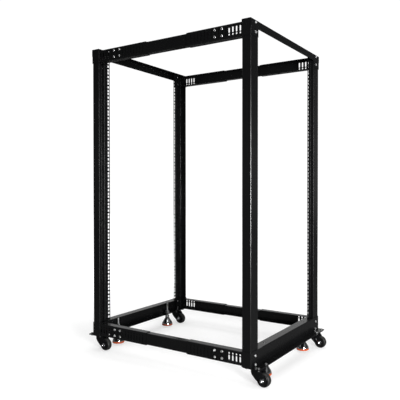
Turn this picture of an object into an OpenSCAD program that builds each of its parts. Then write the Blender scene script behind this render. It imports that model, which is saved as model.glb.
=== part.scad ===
/* [Rack size] */
// Rack units of mounting space, one unit is 44.45 mm
units = 25; // [18:1:42]
// Width over the posts
width = 610; // [604:1:616]
// Depth over the post faces at the stored setting
depth = 764; // [620:1:1020]
// Height of the lowest rack unit above the floor
first_unit_z = 129.6; // [129:0.1:135]
/* [Sheet metal] */
// Sheet thickness of posts, beams and rails
sheet_t = 2; // [1.6:0.1:2.2]
// Inner bend radius of the folded sheet
bend_r = 1; // [0.5:0.1:1.2]
// Thickness of the base plates that carry the casters
base_t = 3; // [2.5:0.1:4]
/* [Posts] */
// Width of a post's outer face
post_face = 50; // [46:1:52]
// Depth of a post's side wall
post_side = 36; // [32:1:38]
// How far the hole flange sits behind the outer face
post_step = 16; // [12:1:20]
// Half the clear width between the hole flanges
bay_half = 225; // [224:0.5:226]
// Side of a square rack hole
hole_w = 9.5; // [9:0.1:9.8]
/* [Side rails] */
// Height of an outer side rail
rail_h = 50; // [46:1:52]
// Width of a rail's flanges
rail_flange = 28; // [22:1:30]
// Front outer rail, from the post face to its free end
rail_front_len = 276; // [250:1:284]
// Rear outer rail, from the post face to its free end
rail_rear_len = 288; // [262:1:296]
// Middle rail length
rail_mid_len = 568; // [540:1:572]
// Clearance between an outer rail and the middle rail inside it
slide_gap = 0.3; // [0.2:0.05:0.5]
// Pitch of the cut-out columns along a rail
slot_pitch = 15.2; // [14.5:0.1:16]
/* [Casters] */
// Overall height of a caster
caster_h = 67.7; // [67.5:0.1:70]
// Wheel radius
wheel_r = 25; // [22.5:0.5:25]
// Wheel width
wheel_w = 22; // [18:1:22]
// Trail of the wheel behind its swivel axis
trail = 30; // [24:0.5:30]
/* [Levelling feet] */
// Radius of the threaded stud
stud_r = 5; // [4.5:0.1:6]
// Clearance of the stud in its nut
stud_gap = 0.05; // [0.02:0.01:0.1]
// Radius of the foot pad
pad_r = 26; // [22:0.5:28]
// Height of the pad's underside above the floor
pad_z = 8.2; // [6:0.1:9]

/* [Hidden] */
$fn = 48;
U = 44.45;
HOLE_X = 232.55;
W = width / 2;
H = depth / 2;
T = sheet_t;
base_z = caster_h;
floor_z = base_z + base_t;
base_top = first_unit_z - 3.9;
unit_top = first_unit_z + units * U;
frame_top = unit_top + 35.35;
top_face_z = unit_top + 6.35;
ear_z = frame_top - 57;
post_z0 = floor_z;
post_z1 = frame_top - T - 1.2;
rail_top_c = frame_top - 31.7;
rail_bot_c = floor_z + 26.5;
rail_x = W - T;
col_0 = 43.8;
n_front = 15;
n_rear = 16;
screw_cols = [5, 7];
corner_x = W - 31;
corner_zs = [frame_top - 9, frame_top - 43, floor_z + 36.5, floor_z + 5.6];
caster_x = W - 42;
caster_y = H - 0.8;
plate_bx = 28;
plate_by = 24;
foot_x = 173;
foot_y = H - 15.5;
plate_t = 2.5;
leg_t = 2.5;
axle_r = 3.25;
pin_r = 5;
run = 0.05;
wheel_z = wheel_r;
fork_in = wheel_w / 2 + 1.5;
mid_y = 0;

BLACK = "#202124";
DARK = "#15161a";
STEEL = "#b9bbbd";
CHROME = "#c9cccf";
ORANGE = "#e04a1c";

// Outline of a folded sheet: p is the line of one face, the sheet lies to its left
function unit(v) = v / norm(v);
function lft(v) = [-v[1], v[0]];
function seg_a(p, i) = unit(p[i] - p[i - 1]);
function seg_b(p, i) = unit(p[i + 1] - p[i]);
function turn(p, i) = sign(seg_a(p, i)[0] * seg_b(p, i)[1] - seg_a(p, i)[1] * seg_b(p, i)[0]);
function bend(p, i, o, t, r) =
    let (a = seg_a(p, i), b = seg_b(p, i), s = turn(p, i),
         k = (lft(a) + lft(b)) / (1 + a * b),
         rad = s > 0 ? r + t - o : r + o,
         c = p[i] + o * k + s * rad * k,
         a0 = atan2(-s * lft(a)[1], -s * lft(a)[0]),
         sweep = s * acos(a * b))
    [for (j = [0 : 5]) c + rad * [cos(a0 + sweep * j / 5), sin(a0 + sweep * j / 5)]];
function side_of(p, o, t, r) =
    let (n = len(p) - 1)
    concat([p[0] + o * lft(unit(p[1] - p[0]))],
           [for (i = [1 : 1 : n - 1]) for (q = bend(p, i, o, t, r)) q],
           [p[n] + o * lft(unit(p[n] - p[n - 1]))]);
function flip_list(v) = [for (i = [len(v) - 1 : -1 : 0]) v[i]];
function folded(p, t, r) = concat(side_of(p, 0, t, r), flip_list(side_of(p, t, t, r)));

module upright(p, z0, z1) {
    translate([0, 0, z0]) linear_extrude(z1 - z0) polygon(folded(p, T, bend_r));
}
module along_y(p, y0, y1) {
    translate([0, y1, 0]) rotate([90, 0, 0]) linear_extrude(y1 - y0) polygon(folded(p, T, bend_r));
}
module along_x(p, x0, x1) {
    translate([x0, 0, 0]) rotate([90, 0, 90]) linear_extrude(x1 - x0) polygon(folded(p, T, bend_r));
}
// Places a piece drawn at the front right corner at any corner
module at(sx, sy) {
    mirror([sx < 0 ? 1 : 0, 0, 0]) mirror([0, sy > 0 ? 1 : 0, 0]) children();
}
module hole_x(x, y, z, r, h) { translate([x, y, z]) rotate([0, 90, 0]) cylinder(r = r, h = h); }
module hole_y(x, y, z, r, h) { translate([x, y, z]) rotate([-90, 0, 0]) cylinder(r = r, h = h); }

// Post: hat section with the square hole flange set back from the outer face and cut short over the base beam
module post() {
    y = -H;
    color(BLACK) difference() {
        upright([[bay_half, y + post_step], [W - post_face, y + post_step], [W - post_face, y],
                 [W, y], [W, y + post_side], [W - 10, y + post_side]], post_z0, post_z1);
        for (u = [0 : units - 1], k = [6.35, 22.225, 38.1])
            translate([HOLE_X - hole_w / 2, y + post_step - 1, first_unit_z + u * U + k - hole_w / 2])
                cube([hole_w, T + 2, hole_w]);
        for (z = [rail_top_c, rail_bot_c])
            translate([W - 12, y + post_side - 3.6, z - rail_h / 2 - 1.5])
                cube([12 - T, 5, rail_h + 3]);
        for (z = corner_zs) hole_y(corner_x, y - 1, z, 3.2, T + 2);
        translate([bay_half - 1, y + post_step - bend_r, post_z0 - 1])
            cube([W - post_face - bay_half + T + 2, T + bend_r + 1, base_top + 0.3 - post_z0 + 1]);
    }
}

// Top beam: angle with a deeper wrap-around ear at each end
module top_beam() {
    y = -H - T;
    color(BLACK) difference() {
        union() {
            along_x([[-H + post_side, frame_top], [y, frame_top], [y, top_face_z]], -W - T, W + T);
            for (s = [-1, 1]) mirror([s < 0 ? 1 : 0, 0, 0])
                upright([[W - post_face, y], [W + T, y], [W + T, -H + post_side]], ear_z, frame_top - T + 0.5);
        }
        for (s = [-1, 1], i = [0, 1]) hole_y(s * corner_x, y - 1, corner_zs[i], 3.2, T + 2);
    }
}

// Base beam: angle that stands on the base plate between and around the posts
module base_beam() {
    y = -H - T;
    color(BLACK) difference() {
        union() {
            along_x([[-H + post_side - T, base_top], [y, base_top], [y, floor_z]], post_face + 0.4 - W, W - post_face - 0.4);
            for (s = [-1, 1]) mirror([s < 0 ? 1 : 0, 0, 0])
                upright([[bay_half - 4, y], [W + T, y], [W + T, -H + post_side]], floor_z, base_top);
        }
        for (s = [-1, 1], i = [2, 3]) hole_y(s * corner_x, y - 1, corner_zs[i], 3.2, T + 2);
        for (s = [-1, 1]) translate([s * foot_x, -foot_y, base_top - T - 1]) cylinder(r = stud_r + 0.5, h = T + 2);
    }
}

// Base plate: runs the full width and stands out in front of the beam
module base_plate() {
    c = 5;
    y0 = -H - 32;
    y1 = -H + post_side;
    color(BLACK) difference() {
        translate([0, 0, base_z]) linear_extrude(base_t)
            polygon([[-W, y0 + c], [-W + c, y0], [W - c, y0], [W, y0 + c], [W, y1 - c], [W - c, y1], [c - W, y1], [-W, y1 - c]]);
        for (s = [-1, 1]) {
            translate([s * foot_x, -foot_y, base_z - 1]) cylinder(r = stud_r + 0.5, h = base_t + 2);
            for (a = [-1, 1]) {
                translate([s * caster_x + a * plate_bx, -caster_y - plate_by, base_z - 1]) cylinder(r = 3.1, h = base_t + 2);
                translate([s * caster_x + a * plate_bx, -caster_y + plate_by, base_z - 1]) cylinder(r = 3.1, h = base_t + 2);
                translate([s * caster_x + a * plate_bx, -caster_y + plate_by, floor_z - 2.3]) cylinder(r1 = 3.1, r2 = 5.5, h = 2.4);
            }
        }
    }
}

// Column of a round hole and a slot cut in a rail's web
module rail_cuts(n, zc, s) {
    for (k = [0 : n - 1]) {
        y = -H + col_0 + k * slot_pitch;
        hole_x(rail_x - T - 1, y, zc - s * 12.3, 3.25, T + 2);
        hole_x(rail_x - T - 1, y, zc - s * 3.05, 3.25, T + 2);
        hole_x(rail_x - T - 1, y, zc + s * 12.45, 3.25, T + 2);
        translate([rail_x - T - 1, y - 3.25, zc + s * 4.7 - 7.75]) cube([T + 2, 6.5, 15.5]);
    }
}
// Outer side rail: channel with its flanges turned inward
module outer_rail(len, n, zc, s) {
    color(BLACK) difference() {
        along_y([[rail_x - rail_flange, zc - rail_h / 2], [rail_x, zc - rail_h / 2],
                 [rail_x, zc + rail_h / 2], [rail_x - rail_flange, zc + rail_h / 2]], -H + 12, -H + len);
        rail_cuts(n, zc, s);
        if (s < 0) translate([rail_x - rail_flange - 1, -H + 11, zc - rail_h / 2 - 1])
            cube([rail_flange - 3, 19, T + 2]);
    }
}
// Middle side rail: slides inside the two outer rails
module mid_rail(zc) {
    x = rail_x - T - slide_gap;
    h = rail_h / 2 - T - slide_gap;
    color(BLACK) along_y([[x - rail_flange + 2, zc - h], [x, zc - h], [x, zc + h], [x - rail_flange + 2, zc + h]],
        mid_y - rail_mid_len / 2, mid_y + rail_mid_len / 2);
}

// Pan head screw along -Y with its nut, drawn at a corner
module corner_screw(z) {
    y = -H - T;
    difference() {
        union() {
            hole_y(corner_x, y - 1.2, z, 5, 1.2);
            translate([corner_x, y - 1.2, z]) rotate([90, 0, 0]) cylinder(r1 = 5, r2 = 3.6, h = 1.5);
            hole_y(corner_x, y, z, 3, 2 * T + 4.6);
        }
        translate([corner_x, y - 1.1, z]) rotate([90, 0, 0]) cylinder(r = 1.9, h = 3, $fn = 6);
    }
    difference() {
        translate([corner_x, y + 2 * T, z]) rotate([-90, 0, 0]) cylinder(r = 5, h = 4, $fn = 6);
        hole_y(corner_x, y + 2 * T - 1, z, 3, 6);
    }
}
// Pan head screw through a rail's web, its tip level with the web's inner face
module rail_screw(k, zc, s) {
    y = -H + col_0 + k * slot_pitch;
    for (z = [zc - s * 12.3, zc + s * 12.45]) difference() {
        union() {
            hole_x(rail_x, y, z, 5, 1);
            translate([rail_x + 1, y, z]) rotate([0, 90, 0]) cylinder(r1 = 5, r2 = 3.6, h = 1.3);
            hole_x(rail_x - T, y, z, 3.1, T + 0.5);
        }
        translate([rail_x + 0.8, y, z]) rotate([0, 90, 0]) cylinder(r = 1.9, h = 3, $fn = 6);
    }
}
module rail_screws(sy) {
    color(STEEL) for (sx = [-1, 1]) at(sx, sy) for (k = screw_cols) {
        rail_screw(k, rail_top_c, 1);
        rail_screw(k, rail_bot_c, -1);
    }
}

// Caster top plate with its king pin and fixed race
module caster_plate(sx, sy) {
    z = base_z - plate_t;
    color(DARK) translate([sx * caster_x, sy * caster_y, 0]) difference() {
        union() {
            translate([0, 0, z]) linear_extrude(plate_t)
                polygon([[-36, -26], [-31, -31], [31, -31], [36, -26], [36, 26], [31, 31], [-31, 31], [-36, 26]]);
            translate([0, 0, z - 3]) cylinder(r1 = 17, r2 = 20, h = 3.5);
            translate([0, 0, z - 13.5]) cylinder(r = pin_r, h = 14);
            translate([0, 0, z - 16]) cylinder(r1 = 6.5, r2 = 8, h = 2.5);
        }
        for (a = [-1, 1], b = [-1, 1]) translate([a * plate_bx, b * plate_by, z - 1]) cylinder(r = 2.7, h = plate_t + 2);
    }
}
// Swivel fork: crown under the race and two arms reaching back to the axle
module caster_fork(sx, sy) {
    ztop = base_z - plate_t - 3.3;
    zc = ztop - 3.5;
    color(DARK) translate([sx * caster_x, sy * caster_y, 0]) difference() {
        union() {
            translate([0, 0, zc]) cylinder(r1 = 17.5, r2 = 19, h = 3.5);
            translate([0, 0, zc - 6.6]) cylinder(r = 9.5, h = 6.7);
            for (s = [-1, 1]) translate([s > 0 ? fork_in : -fork_in - leg_t, 0, 0]) rotate([90, 0, 90]) linear_extrude(leg_t)
                polygon([[14.5, ztop - 1.5], [14.5, 51], [13, 44.5], [9, 38], [-trail + 31.5, 30.3], [-trail + 24, 23.5], [-trail + 17, 18.4],
                         [-trail + 9, 15.2], [-trail, 14.2], [-trail - 6, 15.8], [-trail - 9.8, 20.5], [-trail - 10.8, 27], [-trail - 8, 36],
                         [-trail - 3, 46], [-trail + 3, 55], [-trail + 7, ztop - 1.5]]);
            for (s = [-1, 1]) translate([s > 0 ? 8 : -fork_in - leg_t, -20, zc]) cube([fork_in + leg_t - 8, 34, 2]);
        }
        translate([0, 0, zc - 10]) cylinder(r = pin_r + run, h = 20);
        translate([0, 0, zc - 6.7]) cylinder(r = 8.4, h = 3.9);
        hole_x(-30, -trail, wheel_z, axle_r, 60);
    }
}
// Axle bolt with a hexagon head on the right and a cap nut on the left
module caster_axle(sx, sy) {
    x0 = fork_in + leg_t;
    color(CHROME) translate([sx * caster_x, sy * caster_y - trail, wheel_z]) {
        translate([-x0, 0, 0]) rotate([0, 90, 0]) cylinder(r = axle_r, h = 2 * x0 + 0.1);
        translate([x0, 0, 0]) rotate([0, 90, 0]) cylinder(r = 7.5, h = 1.2);
        translate([x0 + 1.2, 0, 0]) rotate([0, 90, 0]) cylinder(r = 6.6, h = 4.4, $fn = 6);
        translate([-x0 - 1.4, 0, 0]) rotate([0, 90, 0]) cylinder(r = 7.6, h = 1.4);
        translate([-x0 - 6.6, 0, 0]) rotate([0, 90, 0]) cylinder(r = 6.8, h = 5.2, $fn = 6);
        translate([-x0 - 6.6, 0, 0]) rotate([0, -90, 0]) rotate_extrude()
            polygon([[0, -0.2], [5.6, -0.2], [5.6, 0.6], [5.2, 1.9], [4.3, 3], [2.9, 3.9], [1.4, 4.3], [0, 4.4]]);
    }
}
// Wheel: moulded disc with a rounded tread, dished sides and a hub
module caster_wheel(sx, sy) {
    h = wheel_w / 2;
    r = wheel_r;
    b = axle_r + run;
    color(DARK) translate([sx * caster_x, sy * caster_y - trail, wheel_z]) rotate([0, 90, 0]) rotate_extrude()
        polygon([[b, -h], [8, -h], [9, -h + 3], [16, -h + 3], [17.5, -h + 0.6], [r - 3.2, -h + 0.6], [r - 1.2, -h + 1.8], [r - 0.2, -h + 4.4],
                 [r, -2.5], [r, 2.5],
                 [r - 0.2, h - 4.4], [r - 1.2, h - 1.8], [r - 3.2, h - 0.6], [17.5, h - 0.6], [16, h - 3], [9, h - 3], [8, h], [b, h]]);
}
// Bolts that hold a pair of casters: hexagon heads on the ledge, flush heads under the posts
module caster_bolts(sy) {
    zt = floor_z;
    zb = base_z - plate_t;
    color(STEEL) for (sx = [-1, 1], a = [-1, 1]) {
        translate([sx * caster_x + a * plate_bx, sy * (caster_y + plate_by), 0]) {
            translate([0, 0, zt]) cylinder(r = 5, h = 3.5, $fn = 6);
            translate([0, 0, zb - 4]) cylinder(r = 2.5, h = zt - zb + 4.1);
            difference() {
                translate([0, 0, zb - 3.2]) cylinder(r = 4.6, h = 3.2, $fn = 6);
                translate([0, 0, zb - 4]) cylinder(r = 2.5, h = 5);
            }
        }
        translate([sx * caster_x + a * plate_bx, sy * (caster_y - plate_by), 0]) {
            translate([0, 0, zt - 2.2]) cylinder(r1 = 2.5, r2 = 4.9, h = 2.1);
            translate([0, 0, zb - 4]) cylinder(r = 2.5, h = zt - zb + 2);
            difference() {
                translate([0, 0, zb - 3.2]) cylinder(r = 4.6, h = 3.2, $fn = 6);
                translate([0, 0, zb - 4]) cylinder(r = 2.5, h = 5);
            }
        }
    }
}

// Threaded stud of a levelling foot with its ball end
module foot_stud(sx, sy) {
    color(STEEL) translate([sx * foot_x, sy * foot_y, 0]) {
        translate([0, 0, pad_z + 42]) cylinder(r = stud_r, h = base_top - 2.2 - pad_z - 42);
        translate([0, 0, base_top - 2.2]) cylinder(r1 = stud_r, r2 = stud_r - 1.2, h = 1.2);
    }
}
// Bell of a levelling foot: hexagon collar above a bell-shaped skirt
module foot_bell(sx, sy) {
    z = pad_z;
    color(CHROME) translate([sx * foot_x, sy * foot_y, 0]) difference() {
        union() {
            rotate_extrude() polygon([[0, z + 6.5], [pad_r - 1.2, z + 6.5], [pad_r - 0.8, z + 8], [pad_r - 1, z + 11], [pad_r - 2.4, z + 15],
                [pad_r - 5, z + 19.5], [pad_r - 8.2, z + 24.5], [pad_r - 11.4, z + 29.5], [pad_r - 14.2, z + 34.5], [9.8, z + 38.5], [9.2, z + 41.6], [0, z + 41.6]]);
            translate([0, 0, z + 41.3]) cylinder(r = 10.2, h = 8.2, $fn = 6);
        }
        translate([0, 0, z + 42]) cylinder(r = stud_r, h = 20);
    }
}
// Pad of a levelling foot
module foot_pad(sx, sy) {
    z = pad_z;
    color(ORANGE) translate([sx * foot_x, sy * foot_y, 0]) rotate_extrude()
        polygon([[0, z], [pad_r - 1.2, z], [pad_r, z + 1.2], [pad_r, z + 5.4], [pad_r - 0.9, z + 6.5], [0, z + 6.5]]);
}
// Nuts and washers that hold the studs on the base plate
module foot_nuts(sy) {
    color(STEEL) for (sx = [-1, 1]) translate([sx * foot_x, sy * foot_y, floor_z]) {
        difference() {
            cylinder(r = 11.5, h = 2);
            translate([0, 0, -1]) cylinder(r = stud_r + 0.4, h = 4);
        }
        difference() {
            translate([0, 0, 2]) cylinder(r = 10.2, h = 8.4, $fn = 6);
            translate([0, 0, 1]) cylinder(r = stud_r + stud_gap, h = 12);
        }
    }
}

module post_front_left() { at(-1, -1) post(); }
module post_front_right() { at(1, -1) post(); }
module post_rear_left() { at(-1, 1) post(); }
module post_rear_right() { at(1, 1) post(); }
module top_beam_front() { at(1, -1) top_beam(); }
module top_beam_rear() { at(1, 1) top_beam(); }
module base_beam_front() { at(1, -1) base_beam(); }
module base_beam_rear() { at(1, 1) base_beam(); }
module base_plate_front() { at(1, -1) base_plate(); }
module base_plate_rear() { at(1, 1) base_plate(); }
module rail_front_left_top() { at(-1, -1) outer_rail(rail_front_len, n_front, rail_top_c, 1); }
module rail_front_left_bottom() { at(-1, -1) outer_rail(rail_front_len, n_front, rail_bot_c, -1); }
module rail_front_right_top() { at(1, -1) outer_rail(rail_front_len, n_front, rail_top_c, 1); }
module rail_front_right_bottom() { at(1, -1) outer_rail(rail_front_len, n_front, rail_bot_c, -1); }
module rail_rear_left_top() { at(-1, 1) outer_rail(rail_rear_len, n_rear, rail_top_c, 1); }
module rail_rear_left_bottom() { at(-1, 1) outer_rail(rail_rear_len, n_rear, rail_bot_c, -1); }
module rail_rear_right_top() { at(1, 1) outer_rail(rail_rear_len, n_rear, rail_top_c, 1); }
module rail_rear_right_bottom() { at(1, 1) outer_rail(rail_rear_len, n_rear, rail_bot_c, -1); }
module rail_middle_left_top() { at(-1, -1) mid_rail(rail_top_c); }
module rail_middle_left_bottom() { at(-1, -1) mid_rail(rail_bot_c); }
module rail_middle_right_top() { at(1, -1) mid_rail(rail_top_c); }
module rail_middle_right_bottom() { at(1, -1) mid_rail(rail_bot_c); }
module corner_screws_front() { color(STEEL) for (sx = [-1, 1]) at(sx, -1) for (z = corner_zs) corner_screw(z); }
module corner_screws_rear() { color(STEEL) for (sx = [-1, 1]) at(sx, 1) for (z = corner_zs) corner_screw(z); }
module rail_screws_front() { rail_screws(-1); }
module rail_screws_rear() { rail_screws(1); }
module caster_plate_front_left() { caster_plate(-1, -1); }
module caster_plate_front_right() { caster_plate(1, -1); }
module caster_plate_rear_left() { caster_plate(-1, 1); }
module caster_plate_rear_right() { caster_plate(1, 1); }
module caster_fork_front_left() { caster_fork(-1, -1); }
module caster_fork_front_right() { caster_fork(1, -1); }
module caster_fork_rear_left() { caster_fork(-1, 1); }
module caster_fork_rear_right() { caster_fork(1, 1); }
module caster_axle_front_left() { caster_axle(-1, -1); }
module caster_axle_front_right() { caster_axle(1, -1); }
module caster_axle_rear_left() { caster_axle(-1, 1); }
module caster_axle_rear_right() { caster_axle(1, 1); }
module caster_wheel_front_left() { caster_wheel(-1, -1); }
module caster_wheel_front_right() { caster_wheel(1, -1); }
module caster_wheel_rear_left() { caster_wheel(-1, 1); }
module caster_wheel_rear_right() { caster_wheel(1, 1); }
module caster_bolts_front() { caster_bolts(-1); }
module caster_bolts_rear() { caster_bolts(1); }
module foot_stud_front_left() { foot_stud(-1, -1); }
module foot_stud_front_right() { foot_stud(1, -1); }
module foot_stud_rear_left() { foot_stud(-1, 1); }
module foot_stud_rear_right() { foot_stud(1, 1); }
module foot_bell_front_left() { foot_bell(-1, -1); }
module foot_bell_front_right() { foot_bell(1, -1); }
module foot_bell_rear_left() { foot_bell(-1, 1); }
module foot_bell_rear_right() { foot_bell(1, 1); }
module foot_pad_front_left() { foot_pad(-1, -1); }
module foot_pad_front_right() { foot_pad(1, -1); }
module foot_pad_rear_left() { foot_pad(-1, 1); }
module foot_pad_rear_right() { foot_pad(1, 1); }
module foot_nuts_front() { foot_nuts(-1); }
module foot_nuts_rear() { foot_nuts(1); }

post_front_left();
post_front_right();
post_rear_left();
post_rear_right();
top_beam_front();
top_beam_rear();
base_beam_front();
base_beam_rear();
base_plate_front();
base_plate_rear();
rail_front_left_top();
rail_front_left_bottom();
rail_front_right_top();
rail_front_right_bottom();
rail_rear_left_top();
rail_rear_left_bottom();
rail_rear_right_top();
rail_rear_right_bottom();
rail_middle_left_top();
rail_middle_left_bottom();
rail_middle_right_top();
rail_middle_right_bottom();
corner_screws_front();
corner_screws_rear();
rail_screws_front();
rail_screws_rear();
caster_plate_front_left();
caster_plate_front_right();
caster_plate_rear_left();
caster_plate_rear_right();
caster_fork_front_left();
caster_fork_front_right();
caster_fork_rear_left();
caster_fork_rear_right();
caster_axle_front_left();
caster_axle_front_right();
caster_axle_rear_left();
caster_axle_rear_right();
caster_wheel_front_left();
caster_wheel_front_right();
caster_wheel_rear_left();
caster_wheel_rear_right();
caster_bolts_front();
caster_bolts_rear();
foot_stud_front_left();
foot_stud_front_right();
foot_stud_rear_left();
foot_stud_rear_right();
foot_bell_front_left();
foot_bell_front_right();
foot_bell_rear_left();
foot_bell_rear_right();
foot_pad_front_left();
foot_pad_front_right();
foot_pad_rear_left();
foot_pad_rear_right();
foot_nuts_front();
foot_nuts_rear();
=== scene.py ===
import math
import bpy
from mathutils import Vector, Matrix


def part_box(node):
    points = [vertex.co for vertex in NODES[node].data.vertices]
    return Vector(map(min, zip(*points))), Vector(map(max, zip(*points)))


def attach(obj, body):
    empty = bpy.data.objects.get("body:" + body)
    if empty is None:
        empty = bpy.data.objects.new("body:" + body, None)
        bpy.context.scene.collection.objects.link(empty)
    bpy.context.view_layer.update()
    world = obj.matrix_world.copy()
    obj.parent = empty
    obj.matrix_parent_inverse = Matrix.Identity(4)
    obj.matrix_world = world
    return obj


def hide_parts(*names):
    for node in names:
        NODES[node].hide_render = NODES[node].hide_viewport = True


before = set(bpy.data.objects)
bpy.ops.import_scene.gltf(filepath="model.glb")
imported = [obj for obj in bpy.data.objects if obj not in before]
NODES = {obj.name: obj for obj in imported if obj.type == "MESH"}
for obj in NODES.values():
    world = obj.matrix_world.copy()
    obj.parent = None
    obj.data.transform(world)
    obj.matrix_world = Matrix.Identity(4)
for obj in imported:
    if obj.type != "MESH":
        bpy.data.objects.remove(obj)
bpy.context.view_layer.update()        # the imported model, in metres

SC = bpy.context.scene
MM = 0.001


# ------------------------------------------------------------------ mesh help
class Mesh:
    """Collects points and faces in millimetres, then becomes one object."""

    def __init__(self):
        self.v, self.f, self.m = [], [], []

    def add(self, pts, faces, mat=0, at=Matrix.Identity(4)):
        n = len(self.v)
        self.v += [tuple(at @ Vector(p)) for p in pts]
        flip = at.to_3x3().determinant() < 0
        for f in faces:
            f = [n + i for i in f]
            self.f.append(f[::-1] if flip else f)
            self.m.append(mat)

    def lathe(self, prof, segs=48, at=Matrix.Identity(4), mat=0):
        """Turns (r, z) points about Z. A radius of 0 closes an end."""
        pts, faces, ring = [], [], []
        for r, z in prof:
            if r < 1e-6:
                ring.append([len(pts)])
                pts.append((0, 0, z))
            else:
                ring.append(list(range(len(pts), len(pts) + segs)))
                pts += [(r * math.cos(2 * math.pi * k / segs), r * math.sin(2 * math.pi * k / segs), z) for k in range(segs)]
        for a, b in zip(ring, ring[1:]):
            for k in range(segs):
                j = (k + 1) % segs
                if len(a) == 1 and len(b) == 1:
                    continue
                if len(a) == 1:
                    faces.append([a[0], b[j], b[k]])
                elif len(b) == 1:
                    faces.append([a[k], a[j], b[0]])
                else:
                    faces.append([a[k], a[j], b[j], b[k]])
        self.add(pts, faces, mat, at)

    def loops(self, rows, at=Matrix.Identity(4), mat=0, cap=(True, True)):
        """Skins closed loops of the same number of points."""
        n = len(rows[0])
        pts = [p for r in rows for p in r]
        faces = []
        for i in range(len(rows) - 1):
            for k in range(n):
                j = (k + 1) % n
                faces.append([i * n + k, i * n + j, (i + 1) * n + j, (i + 1) * n + k])
        if cap[0]:
            faces.append(list(range(n))[::-1])
        if cap[1]:
            faces.append([(len(rows) - 1) * n + k for k in range(n)])
        self.add(pts, faces, mat, at)

    def object(self, name, mats, angle=32):
        me = bpy.data.meshes.new(name)
        me.from_pydata([(x * MM, y * MM, z * MM) for x, y, z in self.v], [], self.f)
        for m in mats:
            me.materials.append(m)
        me.polygons.foreach_set("material_index", self.m)
        me.polygons.foreach_set("use_smooth", [True] * len(me.polygons))
        me.validate()
        me.update()
        me.set_sharp_from_angle(angle=math.radians(angle))
        o = bpy.data.objects.new(name, me)
        SC.collection.objects.link(o)
        return o


def T(x, y, z):
    return Matrix.Translation((x, y, z))


def R(deg, axis):
    return Matrix.Rotation(math.radians(deg), 4, axis)


def hexagon(r, z, turn=0, segs=6):
    return [(r * math.cos(math.radians(60 * k + turn)), r * math.sin(math.radians(60 * k + turn)), z) for k in range(segs)]


def hex_body(m, r, z0, z1, hole, at, mat=0, c=0.9, both=True):
    """Hexagon nut or head, corners chamfered by a cone as on a real one: r is the corner radius."""
    flat = r * math.cos(math.pi / 6)
    n = 48
    def rad(a, z):
        a = (a % 60) - 30
        edge = flat / math.cos(math.radians(a))
        top = flat + (z1 - z) * 1.9 - 0.15 * 0
        bot = flat + (z - z0) * 1.9
        return min(edge, top if True else edge, bot if both else edge)
    zs = [z0, z0 + 0.15 * c, z0 + 0.35 * c, z0 + 0.6 * c, z0 + c] if both else [z0]
    zs += [z1 - c, z1 - 0.6 * c, z1 - 0.35 * c, z1 - 0.15 * c, z1]
    rows = [[(rad(360 * k / n, z) * math.cos(2 * math.pi * k / n), rad(360 * k / n, z) * math.sin(2 * math.pi * k / n), z) for k in range(n)] for z in zs]
    if hole:
        ring = lambda rr, z: [(rr * math.cos(2 * math.pi * k / n), rr * math.sin(2 * math.pi * k / n), z) for k in range(n)]
        rows = [ring(hole, z0 + 0.5), ring(hole + 0.5, z0)] + rows + [ring(hole + 0.5, z1), ring(hole, z1 - 0.5)]
        rows.append(ring(hole, z0 + 0.5))
        m.loops(rows, at, mat, (False, False))
    else:
        m.loops(rows, at, mat)


def screw_head(m, r, h, at, mat=0):
    """Pan head with a washer face and a cross recess, top at +Z."""
    prof = [(0, 0), (r * 0.98, 0), (r, 0.12), (r, h * 0.42), (r * 0.97, h * 0.62), (r * 0.88, h * 0.82), (r * 0.74, h * 0.95), (r * 0.62, h)]
    segs = 40
    m.lathe(prof, segs, at, mat)
    # cross recess: the top face is split into a cross-shaped pocket and the land around it
    w, l, d = r * 0.13, r * 0.50, h * 0.55
    cross = [(l, -w), (l, w), (w * 1.5, w * 1.5), (w, l), (-w, l), (-w * 1.5, w * 1.5), (-l, w), (-l, -w), (-w * 1.5, -w * 1.5), (-w, -l), (w, -l), (w * 1.5, -w * 1.5)]
    cross.sort(key=lambda p: math.atan2(p[1], p[0]))
    rim = [(r * 0.62 * math.cos(2 * math.pi * k / segs), r * 0.62 * math.sin(2 * math.pi * k / segs)) for k in range(segs)]
    pts = [(x, y, h) for x, y in rim] + [(x, y, h) for x, y in cross] + [(x * 0.45, y * 0.45, h - d) for x, y in cross]
    faces = []
    nc = len(cross)
    ang = lambda p: math.atan2(p[1], p[0]) % (2 * math.pi)
    ca = [ang(p) for p in cross]
    order = sorted(range(nc), key=lambda i: ca[i])
    near = []
    for k in range(segs):
        a = 2 * math.pi * k / segs
        near.append(min(range(nc), key=lambda i: abs((ca[i] - a + math.pi) % (2 * math.pi) - math.pi)))
    for k in range(segs):
        j = (k + 1) % segs
        a, b = near[k], near[j]
        if a == b:
            faces.append([k, j, segs + a])
        else:
            chain, i = [a], a
            pos = order.index(a)
            for _ in range(nc):
                pos = (pos + 1) % nc
                chain.append(order[pos])
                if order[pos] == b:
                    break
            faces.append([k, j] + [segs + i for i in chain[::-1]])
    for q in range(nc):
        a, b = order[q], order[(q + 1) % nc]
        faces.append([segs + a, segs + b, segs + nc + b, segs + nc + a])
    faces.append([segs + nc + i for i in order])
    m.add(pts, faces, mat, at)


def thread(m, r, pitch, z0, z1, at, mat=0, segs=36):
    """Outside thread: a fine grid whose radius follows the helix, with a cone at the top end."""
    depth = 0.61 * pitch
    rows, step = [], pitch / 7
    n = int((z1 - z0) / step)
    for i in range(n + 1):
        z = z0 + (z1 - z0) * i / n
        row = []
        for k in range(segs):
            ph = (z / pitch - k / segs) % 1.0
            tri = abs(2 * ph - 1)
            tri = min(max((tri - 0.12) / 0.76, 0), 1)
            rr = r - depth * tri
            lead = (z1 - z) / 1.6
            if lead < 1:
                rr = min(rr, r - depth + (depth + 0.1) * lead)
            row.append((rr * math.cos(2 * math.pi * k / segs), rr * math.sin(2 * math.pi * k / segs), z))
        rows.append(row)
    m.loops(rows, at, mat)


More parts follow.
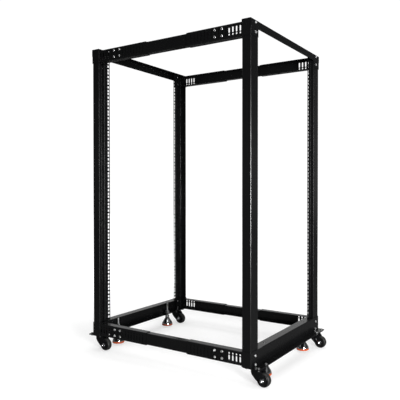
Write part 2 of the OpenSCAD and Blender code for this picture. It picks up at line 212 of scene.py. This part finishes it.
def catmull(pts, per=6, closed=True):
    out, n = [], len(pts)
    for i in range(n if closed else n - 1):
        p = [Vector(pts[(i + d) % n] if closed else pts[min(max(i + d, 0), n - 1)]) for d in (-1, 0, 1, 2)]
        for s in range(per):
            t = s / per
            out.append(0.5 * ((2 * p[1]) + (-p[0] + p[2]) * t + (2 * p[0] - 5 * p[1] + 4 * p[2] - p[3]) * t * t + (-p[0] + 3 * p[1] - 3 * p[2] + p[3]) * t ** 3))
    if not closed:
        out.append(Vector(pts[-1]))
    return out


def bevel(o, width, segs=2, angle=40):
    b = o.modifiers.new("edge", "BEVEL")
    b.width = width * MM
    b.segments = segs
    b.limit_method = "ANGLE"
    b.angle_limit = math.radians(angle)
    b.use_clamp_overlap = True
    b.harden_normals = False
    return b


# ------------------------------------------------------------------ materials
def material(name, base, metallic=0.0, rough=0.4, spec=0.5, coat=0.0, coat_rough=0.2,
             vary=0.0, vary_scale=6.0, rough_vary=0.05, grain_scale=900.0, grain=0.08, grain_dist=0.00005,
             streak=None, tint=None, edge=0.0):
    """Principled material whose colour, roughness and relief come from noise in object space."""
    mt = bpy.data.materials.new(name)
    mt.use_nodes = True
    nt = mt.node_tree
    b = nt.nodes["Principled BSDF"]
    new, link = nt.nodes.new, nt.links.new
    b.inputs["Metallic"].default_value = metallic
    b.inputs["Specular IOR Level"].default_value = spec
    b.inputs["Coat Weight"].default_value = coat
    b.inputs["Coat Roughness"].default_value = coat_rough
    tc = new("ShaderNodeTexCoord")
    src = tc.outputs["Object"]
    if streak:
        mp = new("ShaderNodeMapping")
        mp.inputs["Scale"].default_value = streak
        link(src, mp.inputs["Vector"])
        fine_src = mp.outputs["Vector"]
    else:
        fine_src = src
    big = new("ShaderNodeTexNoise")
    big.inputs["Scale"].default_value = vary_scale
    big.inputs["Detail"].default_value = 5.0
    big.inputs["Roughness"].default_value = 0.6
    link(src, big.inputs["Vector"])
    fine = new("ShaderNodeTexNoise")
    fine.inputs["Scale"].default_value = grain_scale
    fine.inputs["Detail"].default_value = 3.0
    fine.inputs["Roughness"].default_value = 0.55
    link(fine_src, fine.inputs["Vector"])
    # colour: base, a little lighter and darker over the surface, with a second tint in the fine grain
    ramp = new("ShaderNodeValToRGB")
    lo = tuple(max(0, c * (1 - vary)) for c in base)
    hi = tuple(min(1, c * (1 + vary)) for c in base)
    ramp.color_ramp.elements[0].color = (*lo, 1)
    ramp.color_ramp.elements[0].position = 0.3
    ramp.color_ramp.elements[1].color = (*hi, 1)
    ramp.color_ramp.elements[1].position = 0.7
    link(big.outputs["Fac"], ramp.inputs["Fac"])
    mix = new("ShaderNodeMix")
    mix.data_type = "RGBA"
    mix.blend_type = "MIX"
    mr0 = new("ShaderNodeMapRange")
    mr0.inputs["From Min"].default_value = 0.35
    mr0.inputs["From Max"].default_value = 0.75
    mr0.inputs["To Min"].default_value = 0.0
    mr0.inputs["To Max"].default_value = 0.35
    link(fine.outputs["Fac"], mr0.inputs["Value"])
    link(mr0.outputs["Result"], mix.inputs["Factor"])
    link(ramp.outputs["Color"], mix.inputs["A"])
    t2 = tint or tuple(min(1, c * 1.25 + 0.002) for c in base)
    mix.inputs["B"].default_value = (*t2, 1)
    colour = mix.outputs["Result"]
    link(colour, b.inputs["Base Color"])
    # roughness
    mr = new("ShaderNodeMapRange")
    mr.inputs["From Min"].default_value = 0.25
    mr.inputs["From Max"].default_value = 0.75
    mr.inputs["To Min"].default_value = max(0.02, rough - rough_vary)
    mr.inputs["To Max"].default_value = min(1.0, rough + rough_vary)
    add = new("ShaderNodeMath")
    add.operation = "MULTIPLY_ADD"
    add.inputs[1].default_value = 0.45
    link(fine.outputs["Fac"], add.inputs[0])
    sc = new("ShaderNodeMath")
    sc.operation = "MULTIPLY"
    sc.inputs[1].default_value = 0.55
    link(big.outputs["Fac"], sc.inputs[0])
    link(sc.outputs["Value"], add.inputs[2])
    link(add.outputs["Value"], mr.inputs["Value"])
    link(mr.outputs["Result"], b.inputs["Roughness"])
    # relief
    bump = new("ShaderNodeBump")
    bump.inputs["Strength"].default_value = grain
    bump.inputs["Distance"].default_value = grain_dist
    link(fine.outputs["Fac"], bump.inputs["Height"])
    link(bump.outputs["Normal"], b.inputs["Normal"])
    if coat > 0:
        link(bump.outputs["Normal"], b.inputs["Coat Normal"])
    return mt


M_BLACK = material("powder_coat_black", (0.0024, 0.0025, 0.0027), rough=0.26, spec=0.40, vary=0.15, vary_scale=7, rough_vary=0.05,
                   grain_scale=620, grain=0.25, grain_dist=0.00008)
M_CAST = material("caster_black_steel", (0.0030, 0.0031, 0.0034), rough=0.26, spec=0.20, vary=0.12, vary_scale=40, rough_vary=0.07,
                  grain_scale=900, grain=0.25, grain_dist=0.00008)
M_WHEEL = material("wheel_nylon", (0.0045, 0.0046, 0.0048), rough=0.42, spec=0.24, vary=0.15, vary_scale=60, rough_vary=0.06,
                   grain_scale=1500, grain=0.25, grain_dist=0.00006)
M_TREAD = material("wheel_tread", (0.0110, 0.0110, 0.0105), rough=0.50, spec=0.36, vary=0.20, vary_scale=80, rough_vary=0.08,
                   grain_scale=1800, grain=0.4, grain_dist=0.00008)
M_ZINC = material("zinc_plated_steel", (0.50, 0.503, 0.507), metallic=1.0, rough=0.34, vary=0.06, vary_scale=90, rough_vary=0.09,
                  grain_scale=1600, grain=0.18, grain_dist=0.00004, tint=(0.56, 0.555, 0.54))
M_DULL = material("dull_zinc_hardware", (0.16, 0.16, 0.163), metallic=1.0, rough=0.46, vary=0.10, vary_scale=90, rough_vary=0.10,
                  grain_scale=1400, grain=0.22, grain_dist=0.00005, tint=(0.20, 0.195, 0.185))
M_CHROME = material("chrome_plate", (0.80, 0.81, 0.83), metallic=1.0, rough=0.10, vary=0.03, vary_scale=50, rough_vary=0.04,
                    grain_scale=700, grain=0.05, grain_dist=0.00003)
M_ORANGE = material("orange_pad_plastic", (0.42, 0.066, 0.016), rough=0.42, spec=0.4, vary=0.08, vary_scale=60, rough_vary=0.06,
                    grain_scale=1400, grain=0.3, grain_dist=0.00006, tint=(0.48, 0.095, 0.024))
M_FLOOR = material("studio_floor", (0.45, 0.45, 0.45), rough=0.8, spec=0.0, vary=0.01, vary_scale=0.8, rough_vary=0.04,
                   grain_scale=60, grain=0.02, grain_dist=0.0002)
# the floor reads white in the picture, and throws only a little of that back onto the rack
fnt = M_FLOOR.node_tree
glow = fnt.nodes["Principled BSDF"]
glow.inputs["Emission Color"].default_value = (1, 1, 1, 1)
glow.inputs["Emission Strength"].default_value = 0.03
white = fnt.nodes.new("ShaderNodeEmission")
# its glow is painted light: dimmer near the rack as a painted shadow round its foot, brighter away from it, so the far
# floor melts into the backdrop
spot = fnt.nodes.new("ShaderNodeNewGeometry")
reach = fnt.nodes.new("ShaderNodeVectorMath")
reach.operation = "LENGTH"
# painted shade near the rack and painted glow further out: emission strength set from the distance to the rack
painted_shade_glow_ramp = fnt.nodes.new("ShaderNodeMapRange")
for key, val in (("From Min", 0.65), ("From Max", 1.7), ("To Min", 0.555), ("To Max", 1.03)):
    painted_shade_glow_ramp.inputs[key].default_value = val
fnt.links.new(spot.outputs["Position"], reach.inputs[0])
fnt.links.new(reach.outputs["Value"], painted_shade_glow_ramp.inputs["Value"])
fnt.links.new(painted_shade_glow_ramp.outputs["Result"], white.inputs["Strength"])
extra = fnt.nodes.new("ShaderNodeAddShader")
path = fnt.nodes.new("ShaderNodeLightPath")
pick = fnt.nodes.new("ShaderNodeMixShader")
fnt.links.new(glow.outputs["BSDF"], extra.inputs[0])
fnt.links.new(white.outputs["Emission"], extra.inputs[1])
fnt.links.new(path.outputs["Is Camera Ray"], pick.inputs["Fac"])
dim = fnt.nodes.new("ShaderNodeBsdfDiffuse")
dim.inputs["Color"].default_value = (0.115, 0.115, 0.115, 1)
fnt.links.new(dim.outputs["BSDF"], pick.inputs[1])
fnt.links.new(extra.outputs["Shader"], pick.inputs[2])
fnt.links.new(pick.outputs["Shader"], fnt.nodes["Material Output"].inputs["Surface"])

# ------------------------------------------------------------------ sheet metal nodes keep their CAD shape
FR, LR = (("front", -1), ("rear", 1)), (("left", -1), ("right", 1))
SHEET = []
for f, sy in FR:
    SHEET += [f"top_beam_{f}", f"base_beam_{f}", f"base_plate_{f}"]
    for l, sx in LR:
        SHEET += [f"post_{f}_{l}", f"rail_{f}_{l}_top", f"rail_{f}_{l}_bottom"]
for l, sx in LR:
    SHEET += [f"rail_middle_{l}_top", f"rail_middle_{l}_bottom"]
for n in SHEET:
    o = NODES[n]
    o.data.materials.clear()
    o.data.materials.append(M_BLACK)
    bevel(o, 0.35, 2, 50)

# ------------------------------------------------------------------ fasteners
W, H = 305.0, 382.0
TS = 2.0
BASE = 67.7                 # underside of the base plates, top of the casters
LEDGE = BASE + 3.0          # their upper face
CORNER_X = W - 31
lo_, hi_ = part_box("top_beam_front")
FRAME_TOP = hi_.z * 1000
CORNER_Z = (FRAME_TOP - 9, FRAME_TOP - 43, LEDGE + 36.5, LEDGE + 5.6)
RAIL_TOP, RAIL_BOT = FRAME_TOP - 31.7, LEDGE + 26.5
CAST_X, CAST_Y, BOLT_X, BOLT_Y = W - 42, H - 0.8, 28.0, 24.0
FOOT_X, FOOT_Y, PAD_Z = 173.0, H - 15.5, 8.2


def turned(seed):
    """A repeatable angle for how far each screw happened to be turned."""
    return (seed * 73.13 + 17.7 * (seed % 5)) % 90


for f, sy in FR:
    m, q = Mesh(), 0
    for sx in (-1, 1):
        for z in CORNER_Z:
            q += 1
            to_front = T(sx * CORNER_X, sy * (H + TS), z) @ R(-90 * sy, "X") @ R(turned(q), "Z")
            m.lathe([(0, 0), (5.6, 0), (5.75, 0.12), (5.75, 0.5), (5.6, 0.62), (4.6, 0.62)], 40, to_front)
            screw_head(m, 4.9, 2.3, to_front @ T(0, 0, 0.6))
            inner = T(sx * CORNER_X, sy * (H - TS), z) @ R(90 * sy, "X")
            hex_body(m, 5.0, 0.0, 4.0, 2.6, inner, 0, 0.5)
            m.lathe([(2.95, -0.5), (2.95, 4.3), (2.6, 4.6), (0, 4.6)], 24, inner)
    o = m.object(f"corner_screws_{f}_detail", [M_ZINC])
    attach(o, f"{f}_frame")
    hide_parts(f"corner_screws_{f}")

    m, q = Mesh(), 3
    for sx in (-1, 1):
        for k in (5, 7):
            y = -sy * (-H + 43.8 + 15.2 * k) * -1
            y = sy * (H - 43.8 - 15.2 * k)
            for zc, s in ((RAIL_TOP, 1), (RAIL_BOT, -1)):
                for z in (zc - s * 12.3, zc + s * 12.45):
                    q += 1
                    face = T(sx * (W - TS), y, z) @ R(90 * sx, "Y") @ R(turned(q), "Z")
                    screw_head(m, 4.9, 2.3, face)
                    m.lathe([(3.05, 0.1), (3.05, -1.7), (2.7, -1.95), (0, -1.95)][::-1], 24, face)
    o = m.object(f"rail_screws_{f}_detail", [M_ZINC])
    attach(o, f"{f}_frame")
    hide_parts(f"rail_screws_{f}")

    m, q = Mesh(), 0
    for sx in (-1, 1):
        for a in (-1, 1):
            q += 1
            x, y = sx * CAST_X + a * BOLT_X, sy * (CAST_Y + BOLT_Y)
            at = T(x, y, LEDGE)
            m.lathe([(0, 0), (5.9, 0), (6.0, 0.1), (6.0, 0.7), (5.85, 0.8), (0, 0.8)], 36, at)
            hex_body(m, 5.0, 0.8, 3.5, 0, at @ R(turned(q), "Z"), 0, 0.7, both=False)
            y2 = sy * (CAST_Y - BOLT_Y)
            top = T(x, y2, LEDGE)
            m.lathe([(0, -0.1), (4.75, -0.1), (4.85, -0.2), (2.5, -2.2), (2.5, -3.0)][::-1], 36, top)
            for yy in (y, y2):
                under = T(x, yy, BASE - 2.5)
                hex_body(m, 4.6, -3.2, 0.0, 2.3, under @ R(turned(q + 2), "Z"), 0, 0.5)
                m.lathe([(0, -4.0), (2.2, -4.0), (2.5, -3.7), (2.5, 5.0)], 24, under)
    o = m.object(f"caster_bolts_{f}_detail", [M_DULL])
    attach(o, f"{f}_frame")
    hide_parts(f"caster_bolts_{f}")

    m = Mesh()
    for sx in (-1, 1):
        at = T(sx * FOOT_X, sy * FOOT_Y, LEDGE)
        m.lathe([(5.45, 0.1), (5.6, 0), (11.3, 0), (11.5, 0.2), (11.5, 1.8), (11.3, 2.0), (5.6, 2.0), (5.45, 1.9), (5.45, 0.1)], 48, at)
        hex_body(m, 10.2, 2.0, 10.4, 5.05, at @ R(12 + 23 * sx, "Z"), 0, 1.1)
    o = m.object(f"foot_nuts_{f}_detail", [M_ZINC])
    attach(o, f"{f}_frame")
    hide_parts(f"foot_nuts_{f}")

# ------------------------------------------------------------------ levelling feet
for f, sy in FR:
    for l, sx in LR:
        at = T(sx * FOOT_X, sy * FOOT_Y, 0)
        body = f"foot_{f}_{l}"
        m = Mesh()
        thread(m, 5.0, 1.5, PAD_Z + 42, LEDGE + 54.0, at)
        o = m.object(f"foot_stud_{f}_{l}_thread", [M_ZINC], 60)
        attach(o, body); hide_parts(f"foot_stud_{f}_{l}")
        m = Mesh()
        r, z = 26.0, PAD_Z
        line = [(r - 1.3, z + 6.55), (r - 0.82, z + 8), (r - 1.02, z + 11), (r - 2.4, z + 15), (r - 5, z + 19.5), (r - 8.2, z + 24.5), (r - 11.4, z + 29.5), (r - 14.2, z + 34.5), (9.8, z + 38.5), (9.2, z + 41.3)]
        prof = [(p.x, p.y) for p in catmull([(a, b, 0) for a, b in line], 5, closed=False)]
        m.lathe([(r - 3.4, z + 7.1), (r - 3.0, z + 6.58)] + prof + [(8.8, z + 41.6), (0, z + 41.6)], 64, at)
        m.lathe([(0, z + 7.1), (r - 3.4, z + 7.1)], 64, at)
        hex_body(m, 10.2, z + 41.4, z + 49.5, 5.0, at @ R(8 + 15 * sx, "Z"), 0, 1.2)
        o = m.object(f"foot_bell_{f}_{l}_turned", [M_CHROME])
        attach(o, body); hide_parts(f"foot_bell_{f}_{l}")
        m = Mesh()
        m.lathe([(0, z + 1.2), (10, z + 1.2), (11, z), (14, z), (14.6, z + 1.0), (17.4, z + 1.0), (18, z), (r - 1.6, z), (r - 0.5, z + 0.5), (r, z + 1.6),
                 (r, z + 2.6), (r - 0.5, z + 2.9), (r - 0.5, z + 3.4), (r, z + 3.7), (r, z + 5.1), (r - 0.3, z + 6.0), (r - 1.0, z + 6.45), (r - 3, z + 6.5), (0, z + 6.5)], 64, at)
        o = m.object(f"foot_pad_{f}_{l}_moulded", [M_ORANGE], 40)
        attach(o, f"foot_pad_{f}_{l}"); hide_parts(f"foot_pad_{f}_{l}")

# ------------------------------------------------------------------ casters
WHEEL_H, LEG, TRAIL, WZ = 11.0, 2.5, 30.0, 25.0
FORK_IN = WHEEL_H + 1.5
ZB = BASE - 2.5             # underside of the caster's top plate
ZT = ZB - 3.3               # top of the swivelling crown
ZC = ZT - 3.5


def band(m, shape, x0, x1, s, at, mat=0, edge=0.5):
    """A flat plate of the given outline standing across X, with rounded edges."""
    cy = sum(p.x for p in shape) / len(shape)
    cz = sum(p.y for p in shape) / len(shape)
    rows = []
    for inset, t in ((edge, 0.0), (edge * 0.3, edge * 0.3), (0.0, edge), (0.0, x1 - x0 - edge), (edge * 0.3, x1 - x0 - edge * 0.3), (edge, x1 - x0)):
        row = []
        for p in shape:
            d = Vector((p.x - cy, p.y - cz))
            d = d * (1 - inset / max(d.length, 1))
            row.append((s * (x0 + t), cy + d.x, cz + d.y))
        rows.append(row)
    m.loops([r[::-1] for r in rows] if s < 0 else rows, at, mat)


for f, sy in FR:
    for l, sx in LR:
        at = T(sx * CAST_X, sy * CAST_Y, 0)
        # top plate, fixed race and king pin
        m = Mesh()
        c = []
        for qx, qy, a0 in ((1, 1, 0), (-1, 1, 90), (-1, -1, 180), (1, -1, 270)):
            for k in range(7):
                a = math.radians(a0 + 15 * k)
                c.append((qx * 31 + 5 * math.cos(a), qy * 26 + 5 * math.sin(a)))
        rows = []
        for inset, z in ((0.5, ZB), (0.0, ZB + 0.4), (0.0, BASE - 0.4), (0.4, BASE)):
            rows.append([(x * (1 - inset / 36), y * (1 - inset / 31), z) for x, y in c])
        m.loops(rows, at)
        m.lathe([(16.0, ZB - 3.0), (17.2, ZB - 3.0), (18.4, ZB - 2.5), (19.2, ZB - 1.2), (20.0, ZB + 0.05)], 56, at)
        m.lathe([(0, ZB - 16), (5.2, ZB - 16), (6.6, ZB - 15.6), (7.8, ZB - 14.6), (8.0, ZB - 13.7), (7.2, ZB - 13.5), (5.0, ZB - 13.5), (5.0, ZB - 3.0), (16.0, ZB - 3.0)], 48, at)
        o = m.object(f"caster_plate_{f}_{l}_pressed", [M_CAST])
        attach(o, f"{f}_frame"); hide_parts(f"caster_plate_{f}_{l}")
        # pressed fork: crown with a rolled rim, hub, two wide legs
        m = Mesh()
        m.lathe([(5.06, ZC), (5.06, ZT - 0.4), (5.6, ZT), (17.0, ZT), (18.4, ZT - 0.4), (19.0, ZT - 1.4), (18.9, ZT - 2.7), (18.0, ZC), (9.6, ZC), (9.5, ZC - 6.6),
                 (8.4, ZC - 6.6), (8.4, ZC - 2.8), (5.06, ZC - 2.8), (5.06, ZC)], 56, at)
        outline = [(14.4, ZT - 1.6), (14.5, 51.0), (13.0, 44.5), (9.0, 38.0), (1.5, 30.3), (-6.0, 23.5), (-13.0, 18.4), (-21.0, 15.2), (-30.0, 14.2), (-36.0, 15.8),
                   (-39.7, 20.5), (-40.7, 27.0), (-38.0, 36.0), (-33.0, 46.0), (-27.2, 55.0), (-23.0, ZT - 1.6)]
        shape = catmull([(a, b, 0) for a, b in outline[1:-1]], 4, closed=False)
        shape = [Vector((14.5, ZT - 1.6, 0))] + shape + [Vector((-23.0, ZT - 1.6, 0))]
        for s in (-1, 1):
            band(m, shape, FORK_IN, FORK_IN + LEG, s, at)
            # shoulder that folds from the crown down into the leg, rounded on its outer edge
            prof = [(8.0, ZT - 1.5)]
            for k in range(6):
                a = math.radians(90 - 18 * k)
                prof.append((FORK_IN + LEG - 2.0 + 2.0 * math.cos(a), ZT - 3.5 + 2.0 * math.sin(a)))
            prof += [(FORK_IN, ZC), (8.0, ZC)]
            rows = [[(s * x, yy, z) for x, z in prof] for yy in (-19.6, -6.0, 6.0, 13.6)]
            m.loops(rows if s < 0 else [r[::-1] for r in rows], at)
            # a boss around the axle on each leg
            boss = at @ T(s * (FORK_IN + LEG), -TRAIL, WZ) @ R(90 * s, "Y")
            m.lathe([(9.4, -0.6), (9.2, -0.1), (8.6, 0.05), (3.3, 0.05)], 40, boss)
        o = m.object(f"caster_fork_{f}_{l}_pressed", [M_CAST])
        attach(o, f"caster_{f}_{l}"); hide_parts(f"caster_fork_{f}_{l}")
        # axle bolt: washer and cap nut on the left, washer and hexagon head on the right
        m = Mesh()
        ax = at @ T(0, -TRAIL, WZ) @ R(90, "Y")
        x0 = FORK_IN + LEG
        m.lathe([(3.25, -x0 - 0.1), (3.25, x0 + 0.1)], 32, ax)
        left = ax @ T(0, 0, -x0) @ R(180, "X")
        m.lathe([(3.2, 0.06), (7.4, 0.06), (7.6, 0.25), (7.6, 1.2), (7.4, 1.4), (3.2, 1.4)], 48, left)
        hex_body(m, 6.75, 1.4, 6.6, 0, left @ R(turned(2 + sx + 2 * sy), "Z"), 0, 0.7)
        m.lathe([(5.55, 6.2), (5.55, 7.2), (5.2, 8.5), (4.3, 9.6), (2.9, 10.5), (1.4, 10.88), (0, 10.98)], 40, left)
        right = ax @ T(0, 0, x0)
        m.lathe([(3.2, 0.06), (7.3, 0.06), (7.5, 0.2), (7.5, 1.05), (7.3, 1.2), (3.2, 1.2)], 48, right)
        hex_body(m, 6.6, 1.2, 5.6, 0, right @ R(turned(3 + sx + 2 * sy), "Z"), 0, 0.7)
        o = m.object(f"caster_axle_{f}_{l}_bolt", [M_CHROME])
        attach(o, f"caster_{f}_{l}"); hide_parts(f"caster_axle_{f}_{l}")
        # wheel: nylon body with a softer tread
        m = Mesh()
        b, h = 3.30, WHEEL_H
        half = [(b, h - 0.4), (b + 0.4, h), (7.4, h), (7.9, h - 0.4), (8.4, h - 2.6), (9.4, h - 3.2), (15.6, h - 3.2), (16.6, h - 2.6), (17.3, h - 0.9), (17.9, h - 0.6),
                (20.6, h - 0.6)]
        m.lathe([(r_, -z_) for r_, z_ in half] + [(21.0, -h + 0.9), (21.0, h - 0.9)] + [(r_, z_) for r_, z_ in half[::-1]] + [(b, -h + 0.4)], 72, ax)
        # ribs in the dish on both sides
        for s in (-1, 1):
            for k in range(6):
                rib = ax @ R(60 * k + 12, "Z")
                pts = []
                for rr, ww in ((8.2, 0.85), (16.8, 0.65)):
                    pts += [(rr, -ww, s * (h - 3.6)), (rr, ww, s * (h - 3.6)), (rr, ww * 0.7, s * (h - 1.5)), (rr, -ww * 0.7, s * (h - 1.5))]
                fc = [[0, 1, 5, 4], [1, 2, 6, 5], [2, 3, 7, 6], [3, 0, 4, 7], [3, 2, 1, 0], [4, 5, 6, 7]]
                m.add(pts, [q[::-1] for q in fc] if s < 0 else fc, 0, rib)
        tread = [(20.9, -h + 0.62), (21.8, -h + 0.6), (23.0, -h + 1.1), (24.0, -h + 2.4), (24.6, -h + 4.2), (24.9, -h + 6.2), (24.985, -h + 8.2), (24.985, h - 8.2), (24.9, h - 6.2),
                 (24.6, h - 4.2), (24.0, h - 2.4), (23.0, h - 1.1), (21.8, h - 0.6), (20.9, h - 0.62)]
        m.lathe(tread, 96, ax, 1)
        o = m.object(f"caster_wheel_{f}_{l}_moulded", [M_WHEEL, M_TREAD])
        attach(o, f"wheel_{f}_{l}"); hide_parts(f"caster_wheel_{f}_{l}")

# ------------------------------------------------------------------ floor, light, camera
m = Mesh()
s_ = 9000.0
m.add([(-s_, -s_, 0), (s_, -s_, 0), (s_, s_, 0), (-s_, s_, 0)], [[0, 1, 2, 3]])
floor = m.object("studio_floor", [M_FLOOR])
floor.location.z = -0.0002

# surroundings: white sweep behind the rack, dark room on the camera's side, a soft glow overhead
world = bpy.data.worlds.new("studio")
SC.world = world
world.use_nodes = True
nt = world.node_tree
bg = nt.nodes["Background"]
bg.inputs["Color"].default_value = (1, 1, 1, 1)
where = nt.nodes.new("ShaderNodeTexCoord")
xyz = nt.nodes.new("ShaderNodeSeparateXYZ")
nt.links.new(where.outputs["Generated"], xyz.inputs["Vector"])
dot = nt.nodes.new("ShaderNodeVectorMath")
dot.operation = "DOT_PRODUCT"
dot.inputs[1].default_value = (0.844, 0.536, 0.0)
nt.links.new(where.outputs["Generated"], dot.inputs[0])


def ramp(src, a, b, lo, hi):
    n = nt.nodes.new("ShaderNodeMapRange")
    n.interpolation_type = "SMOOTHSTEP"
    n.inputs["From Min"].default_value = a
    n.inputs["From Max"].default_value = b
    n.inputs["To Min"].default_value = lo
    n.inputs["To Max"].default_value = hi
    nt.links.new(src, n.inputs["Value"])
    return n.outputs["Result"]


def calc(op, a, b):
    n = nt.nodes.new("ShaderNodeMath")
    n.operation = op
    for i, v in enumerate((a, b)):
        if isinstance(v, (int, float)):
            n.inputs[i].default_value = v
        else:
            nt.links.new(v, n.inputs[i])
    return n.outputs["Value"]


behind = ramp(dot.outputs["Value"], 0.55, 1.0, 0.0, 0.62)
low = ramp(xyz.outputs["Z"], 0.02, 0.20, 0.16, 0.03)
high = ramp(xyz.outputs["Z"], 0.45, 0.95, 0.0, 0.4)
total = calc("ADD", calc("ADD", behind, low), high)
nt.links.new(total, bg.inputs["Strength"])
seen = nt.nodes.new("ShaderNodeBackground")
seen.inputs["Color"].default_value = (1, 1, 1, 1)
seen.inputs["Strength"].default_value = 1.05
lp = nt.nodes.new("ShaderNodeLightPath")
mx = nt.nodes.new("ShaderNodeMixShader")
nt.links.new(lp.outputs["Is Camera Ray"], mx.inputs["Fac"])
nt.links.new(bg.outputs["Background"], mx.inputs[1])
nt.links.new(seen.outputs["Background"], mx.inputs[2])
nt.links.new(mx.outputs["Shader"], nt.nodes["World Output"].inputs["Surface"])


def lamp(name, where, aim, size, power, size_y=None):
    d = bpy.data.lights.new(name, "AREA")
    d.shape = "RECTANGLE"
    d.size = size
    d.size_y = size_y or size
    d.energy = power
    o = bpy.data.objects.new(name, d)
    o.location = where
    o.rotation_mode = "QUATERNION"
    o.rotation_quaternion = (Vector(aim) - Vector(where)).to_track_quat("-Z", "Y")
    SC.collection.objects.link(o)
    return o


lamp("overhead", (0.0, 0.0, 3.6), (0, 0, 0), 4.2, 90.0)
lamp("camera_side", (-2.05, -3.10, 0.72), (-0.3, -0.38, 0.66), 0.75, 270.0, 1.15)

cam = bpy.data.cameras.new("camera")
cam.sensor_width = 36.0
cam.lens = 507.68 / 400 * 36.0
cam.shift_x = -(222.95 - 200.0) / 400
cam.shift_y = (195.77 - 200.0) / 400
cam.clip_end = 100
co = bpy.data.objects.new("camera", cam)
co.location = (-1.8256, -1.2335, 0.6877)
yaw, pitch = -1.00532, -0.012208
fwd = Vector((math.cos(pitch) * math.cos(0.0), 0, 0))
fwd = Vector((0.84431, 0.53577, -0.012208)).normalized()
co.rotation_mode = "QUATERNION"
co.rotation_quaternion = fwd.to_track_quat("-Z", "Y")
SC.collection.objects.link(co)
SC.camera = co
SC.view_settings.view_transform = "Standard"
SC.view_settings.look = "None"
